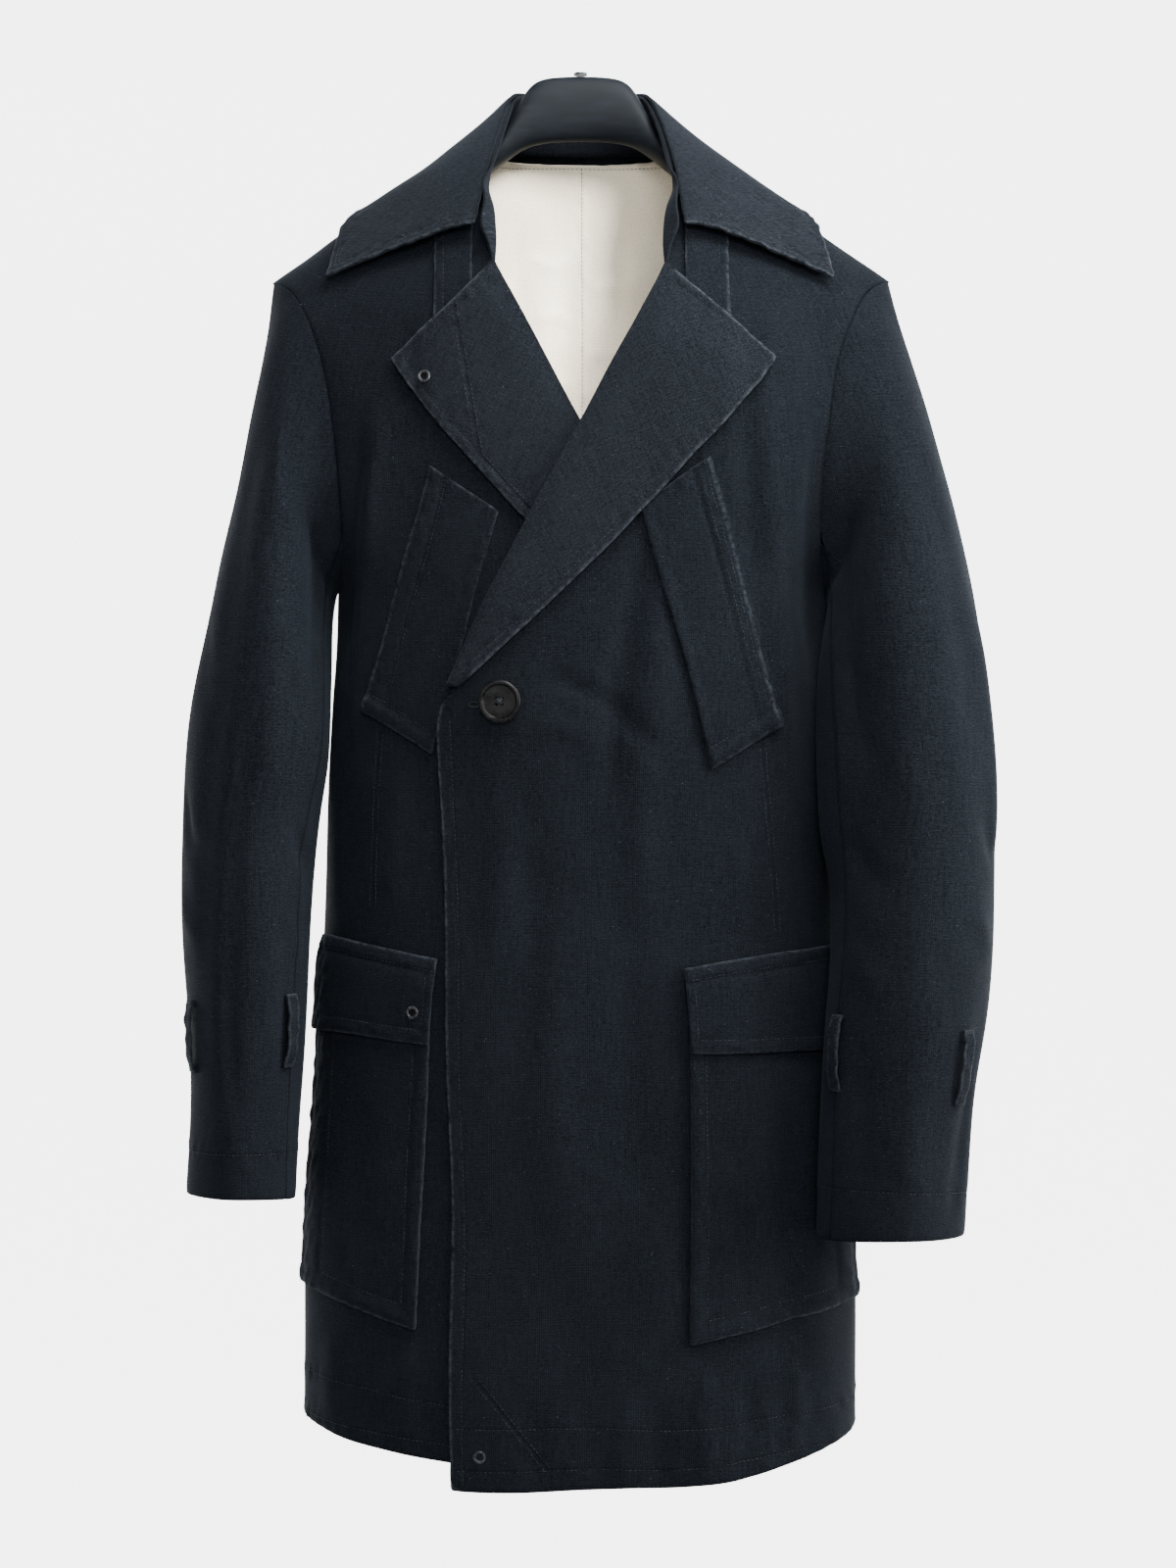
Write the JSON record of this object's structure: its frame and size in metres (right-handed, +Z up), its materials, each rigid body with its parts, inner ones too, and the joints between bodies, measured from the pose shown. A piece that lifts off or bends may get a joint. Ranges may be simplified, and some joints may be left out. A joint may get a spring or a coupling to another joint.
{
  "type": "moto coat on a display hanger",
  "caption": "Hip-covering canvas coat with crossed lapels, slanted chest welts, flap pockets and cuff loops, hung on a broad hanger.",
  "frame": {"origin": "top of the hook socket on the hanger's crown, where the hanger is held", "axes": "+Z up along the coat's length, +X to the viewer's right of the front, -Y out of the front"},
  "size_m": [0.599, 0.2521, 1.0458],
  "materials": {
    "canvas": "heavy navy-black canvas with a fine cross slub",
    "collar_canvas": "the same canvas, a little greyer where it is brushed",
    "lining_cloth": "cream lining, soft sheen",
    "black_plastic": "satin black moulding",
    "horn": "polished dark horn",
    "dark_metal": "dull steel"
  },
  "bodies": {
    "root": {"front_left": "canvas", "front_right": "canvas", "back_left": "canvas", "back_right": "canvas", "chest_welt_right": "canvas", "chest_welt_left": "canvas", "neck_strip_right": "canvas", "neck_strip_left": "canvas", "pocket_right": "canvas", "pocket_left": "canvas", "flap_right": "canvas", "flap_left": "canvas", "lapel_left": "collar_canvas", "lapel_right": "collar_canvas", "collar_fall": "collar_canvas", "collar_stand": "collar_canvas", "sleeve_upper_left": "canvas", "sleeve_under_left": "canvas", "sleeve_upper_right": "canvas", "sleeve_under_right": "canvas", "cuff_loop_right_outer": "canvas", "cuff_loop_right_inner": "canvas", "cuff_loop_left_inner": "canvas", "cuff_loop_left_outer": "canvas", "button": "horn", "eyelet_lapel": "dark_metal", "eyelet_flap": "dark_metal", "eyelet_hem": "dark_metal", "hanger": "black_plastic", "hook_socket": "dark_metal", "lining_back": "lining_cloth"}
  },
  "joints": []
}
